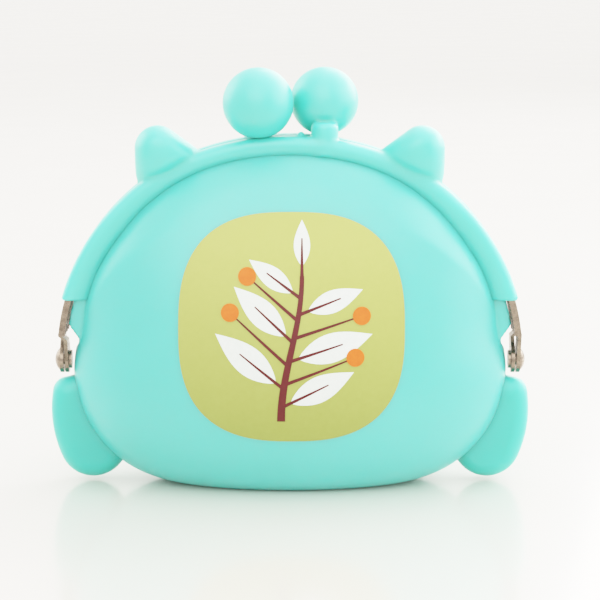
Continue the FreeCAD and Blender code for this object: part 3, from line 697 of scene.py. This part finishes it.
# each leaf and berry: how far up the stem, which side, how long
LEAVES = [
    (0.10, 1, 15.0), (0.23, -1, 16.5), (0.42, 1, 16.5), (0.55, -1, 15.0), (0.74, 1, 12.5), (0.85, -1, 11.5),
    (1.0, 0, 9.5),
]
LEAF_LEAN = math.radians(60.0)
LEAF_STALK = 2.0
LEAF_VEIN = 0.6
LEAF_SHAPE = 0.37
LEAF_BELLY = 0.85
LEAF_RINGS = 4
BERRIES = [(0.26, 1, 16.0), (0.39, -1, 16.5), (0.58, 1, 15.0), (0.70, -1, 14.0)]
BERRY_LEAN = math.radians(60.0)
BERRY_RADIUS = 1.9
BERRY_RINGS = 3
# how deep the ink films start in the belly, and how far each stands out of it
FILM_SUNK = 0.15
PATCH_PROUD = 0.05
LEAF_PROUD = 0.10
STALK_PROUD = 0.14
BERRY_PROUD = 0.18


def film(flat, faces, border, proud):
    """Points and faces of a thin closed film that lies on the belly's front."""
    x, z = np.asarray(flat).T
    depth = belly_front(x, z)
    front = np.stack([x, -depth - proud, z], axis=1)
    back = np.stack([x, -depth + FILM_SUNK, z], axis=1)
    count = len(flat)
    closed = list(faces) + [[count + corner for corner in reversed(face)] for face in faces]
    for start, end in zip(border, border[1:] + border[:1]):
        closed.append([end, start, count + start, count + end])
    return np.concatenate([front, back]), closed


def disc_film(outline, rings, proud):
    """A film inside a closed outline that its middle can see all of."""
    middle = outline.mean(axis=0)
    around = len(outline)
    flat = [middle]
    for ring in range(1, rings + 1):
        flat.extend(middle + (outline - middle) * ring / rings)
    faces = [[0, 1 + i, 1 + (i + 1) % around] for i in range(around)]
    for ring in range(rings - 1):
        low = 1 + ring * around
        for i in range(around):
            j = (i + 1) % around
            faces.append([low + i, low + around + i, low + around + j, low + j])
    last = 1 + (rings - 1) * around
    return film(flat, faces, list(range(last, last + around)), proud)


def strip_film(line, widths, proud):
    """A film along a curved line, with its own width at each point."""
    line = np.asarray(line)
    run = np.gradient(line, axis=0)
    run /= np.linalg.norm(run, axis=1)[:, None]
    sideways = np.stack([-run[:, 1], run[:, 0]], axis=1) * widths[:, None] / 2
    count = len(line)
    flat = np.concatenate([line + sideways, line - sideways])
    faces = [[i, count + i, count + i + 1, i + 1] for i in range(count - 1)]
    border = list(range(count, 2 * count)) + list(range(count - 1, -1, -1))
    return film(flat, faces, border, proud)


def joined(parts):
    """Several sets of points and faces as one."""
    points, faces, start = [], [], 0
    for part_points, part_faces in parts:
        points.append(part_points)
        faces.extend([start + corner for corner in face] for face in part_faces)
        start += len(part_points)
    return np.concatenate(points), faces


def patch_outline(count=120):
    """The patch: between a circle and a square."""
    turn = np.linspace(0, 2 * math.pi, count, endpoint=False)
    power = 2 / PATCH_SQUARENESS
    shape = np.stack([
        np.sign(np.cos(turn)) * np.abs(np.cos(turn)) ** power,
        np.sign(np.sin(turn)) * np.abs(np.sin(turn)) ** power,
    ], axis=1)
    return PATCH_MIDDLE + shape * PATCH_HALF


def sprig_point(along):
    """A point of the sprig's stem, from its foot at 0 to its tip at 1."""
    sway = SPRIG_SWAY * math.sin(math.pi * (along - 0.5))
    return PATCH_MIDDLE + np.array([sway, SPRIG_FOOT + SPRIG_LENGTH * along])


def sprig_heading(along, lean):
    """The direction that leaves the stem at a point, leaning away from it by an angle."""
    run = sprig_point(along + SPRIG_PROBE) - sprig_point(along - SPRIG_PROBE)
    turn = math.atan2(run[1], run[0]) - lean
    return turn, np.array([math.cos(turn), math.sin(turn)])


def leaf_outline(root, turn, length, count=16):
    """A pointed leaf that leaves root in the direction turn."""
    along = np.linspace(0, 1, count)
    half = length * LEAF_SHAPE / 2 * np.sin(math.pi * along ** LEAF_BELLY)
    edge = np.concatenate([
        np.stack([along * length, half], axis=1), np.stack([along * length, -half], axis=1)[-2:0:-1],
    ])[::-1]
    rotate = np.array([[math.cos(turn), math.sin(turn)], [-math.sin(turn), math.cos(turn)]])
    return root + edge @ rotate


def berry_outline(middle, count=28):
    """A round berry."""
    turn = np.linspace(0, 2 * math.pi, count, endpoint=False)
    return middle + BERRY_RADIUS * np.stack([np.cos(turn), np.sin(turn)], axis=1)


def stem_film(count=40):
    """The sprig's stem, tapering to its tip."""
    steps = np.linspace(0, 1, count)
    return strip_film([sprig_point(s) for s in steps], SPRIG_WIDTH - SPRIG_TAPER * steps, STALK_PROUD)


def stalk_film(root, heading, length, count=12):
    """A thin stalk that tapers away from the stem."""
    steps = np.linspace(0, 1, count)
    line = [root + heading * length * s for s in steps]
    return strip_film(line, STALK_WIDTH - STALK_TAPER * steps, STALK_PROUD)


def sprig_films():
    """The films of the stem with its stalks, the leaves and the berries."""
    stems, leaves, berries = [stem_film()], [], []
    for along, side, length in LEAVES:
        root = sprig_point(along)
        turn, heading = sprig_heading(along, side * LEAF_LEAN)
        stems.append(stalk_film(root, heading, LEAF_STALK + LEAF_VEIN * length))
        outline = leaf_outline(root + heading * LEAF_STALK, turn, length)
        leaves.append(disc_film(outline, LEAF_RINGS, LEAF_PROUD))
    for along, side, length in BERRIES:
        root = sprig_point(along)
        heading = sprig_heading(along, side * BERRY_LEAN)[1]
        stems.append(stalk_film(root, heading, length))
        berries.append(disc_film(berry_outline(root + heading * length), BERRY_RINGS, BERRY_PROUD))
    return stems, leaves, berries


def printed(name, geometry, material):
    """A printed film, lying on the belly's front."""
    obj = mesh_object(name, *geometry, material)
    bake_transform(obj)


stem_films, leaf_films, berry_films = sprig_films()
printed("print_patch", disc_film(patch_outline(), PATCH_RINGS, PATCH_PROUD), patch_ink)
printed("print_stem", joined(stem_films), maroon_ink)
printed("print_leaves", joined(leaf_films), white_ink)
printed("print_berries", joined(berry_films), orange_ink)

# The metal

for node in ("front_frame", "rear_frame", "front_rivet", "rear_rivet", "front_clasp_post", "rear_clasp_post"):
    plated = frame["nodes"][node]
    plated.data.materials.clear()
    plated.data.materials.append(nickel)

# The stage, in metres

FLOOR_SIZE = 14.0
SKY_RISE = (0.0, 0.3, 0.5)
SKY_MIDDLE = 0.5
SKY_STRENGTH = 1.5
SKY_COLOURS = [
    (0.20, (0.54, 0.53, 0.51)), (0.50, (0.82, 0.80, 0.77)),
    (0.78, (1.0, 0.965, 0.90)), (1.0, (1.0, 0.985, 0.955)),
]
DAYLIGHT = (1.0, 0.99, 0.98)
WARM_LIGHT = (1.0, 0.985, 0.96)
# each soft box: its name, its place, the height it is aimed at, its size, power and colour
SOFT_BOXES = [
    ("overhead", (0.15, 0.05, 0.70), 0.03, 0.7, 1.6, DAYLIGHT),
    ("right_window", (0.95, -0.20, 0.45), 0.04, 0.9, 5.6, DAYLIGHT),
    ("left_window", (-0.80, 0.45, 0.40), 0.04, 0.7, 3.0, DAYLIGHT),
    ("back_window", (0.45, 0.75, 0.60), 0.05, 0.8, 6.5, DAYLIGHT),
    ("front_fill", (-0.10, -0.85, 0.55), 0.04, 0.9, 4.8, WARM_LIGHT),
    ("right_corner", (0.85, 0.55, 0.35), 0.05, 0.6, 4.6, DAYLIGHT),
]


def studio_sky():
    """Soft light from all round, brighter and warmer towards the top and the back."""
    world = bpy.data.worlds.new("studio")
    world.use_nodes = True
    tree = world.node_tree
    outlook = tree.nodes.new("ShaderNodeTexCoord")
    climb = tree.nodes.new("ShaderNodeVectorMath")
    climb.operation = "DOT_PRODUCT"
    climb.inputs[1].default_value = SKY_RISE
    tree.links.new(outlook.outputs["Generated"], climb.inputs[0])
    lifted = tree.nodes.new("ShaderNodeMath")
    lifted.inputs[1].default_value = SKY_MIDDLE
    tree.links.new(climb.outputs["Value"], lifted.inputs[0])
    sky = tree.nodes["Background"]
    tree.links.new(ramp(tree, lifted.outputs["Value"], SKY_COLOURS), sky.inputs["Color"])
    sky.inputs["Strength"].default_value = SKY_STRENGTH
    return world


def soft_box(name, place, aim_height, size, power, colour):
    """A square soft box, aimed at a height above the middle."""
    data = bpy.data.lights.new(name, "AREA")
    data.size = size
    data.energy = power
    data.color = colour
    lamp = bpy.data.objects.new(name, data)
    lamp.location = place
    lamp.rotation_mode = "QUATERNION"
    lamp.rotation_quaternion = (Vector((0, 0, aim_height)) - Vector(place)).to_track_quat("-Z", "Y")
    bpy.context.scene.collection.objects.link(lamp)


bpy.ops.mesh.primitive_plane_add(size=FLOOR_SIZE, location=(0, 0, 0))
floor = bpy.context.object
floor.name = "table"
floor.data.materials.append(floor_material())
bpy.context.scene.world = studio_sky()
for settings in SOFT_BOXES:
    soft_box(*settings)

# The camera: pixels are the photo's

PHOTO_SIDE = 600
OBJECT_COLUMN = 290
FLOOR_ROW = 480
PIXELS_PER_MM = 4.57
DISTANCE = 520.0
ELEVATION = math.radians(9.0)
SENSOR_WIDTH = 36.0
aim_x = (PHOTO_SIDE / 2 - OBJECT_COLUMN) / PIXELS_PER_MM
aim_z = (FLOOR_ROW - PHOTO_SIDE / 2) / PIXELS_PER_MM / math.cos(ELEVATION)
camera = bpy.data.objects.new("camera", bpy.data.cameras.new("camera"))
bpy.context.scene.collection.objects.link(camera)
camera.data.sensor_width = SENSOR_WIDTH
camera.data.lens = PIXELS_PER_MM * DISTANCE / PHOTO_SIDE * SENSOR_WIDTH
camera.location = (
    aim_x * MM, -DISTANCE * math.cos(ELEVATION) * MM, (aim_z + DISTANCE * math.sin(ELEVATION)) * MM,
)
camera.rotation_euler = (math.pi / 2 - ELEVATION, 0, 0)
camera.data.clip_start, camera.data.clip_end = 0.01, 50.0
bpy.context.scene.camera = camera

# The picture's tone: bright parts roll off softly, as in an airy product photo

TONE_TOP = 2.0
TONE_SPEED = 1.6
TONE_POINTS = (0.05, 0.1, 0.2, 0.3, 0.45, 0.6, 0.8)
ALL_CHANNELS = 3


def toned(light):
    """The picture's brightness for a share of the brightest light."""
    return 1 - math.exp(-TONE_SPEED * TONE_TOP * light)


view = bpy.context.scene.view_settings
view.view_transform = "Standard"
view.use_curve_mapping = True
view.curve_mapping.white_level = (TONE_TOP, TONE_TOP, TONE_TOP)
tone = view.curve_mapping.curves[ALL_CHANNELS]
tone.points[1].location = (1.0, toned(1.0))
for light in TONE_POINTS:
    tone.points.new(light, toned(light))
view.curve_mapping.update()
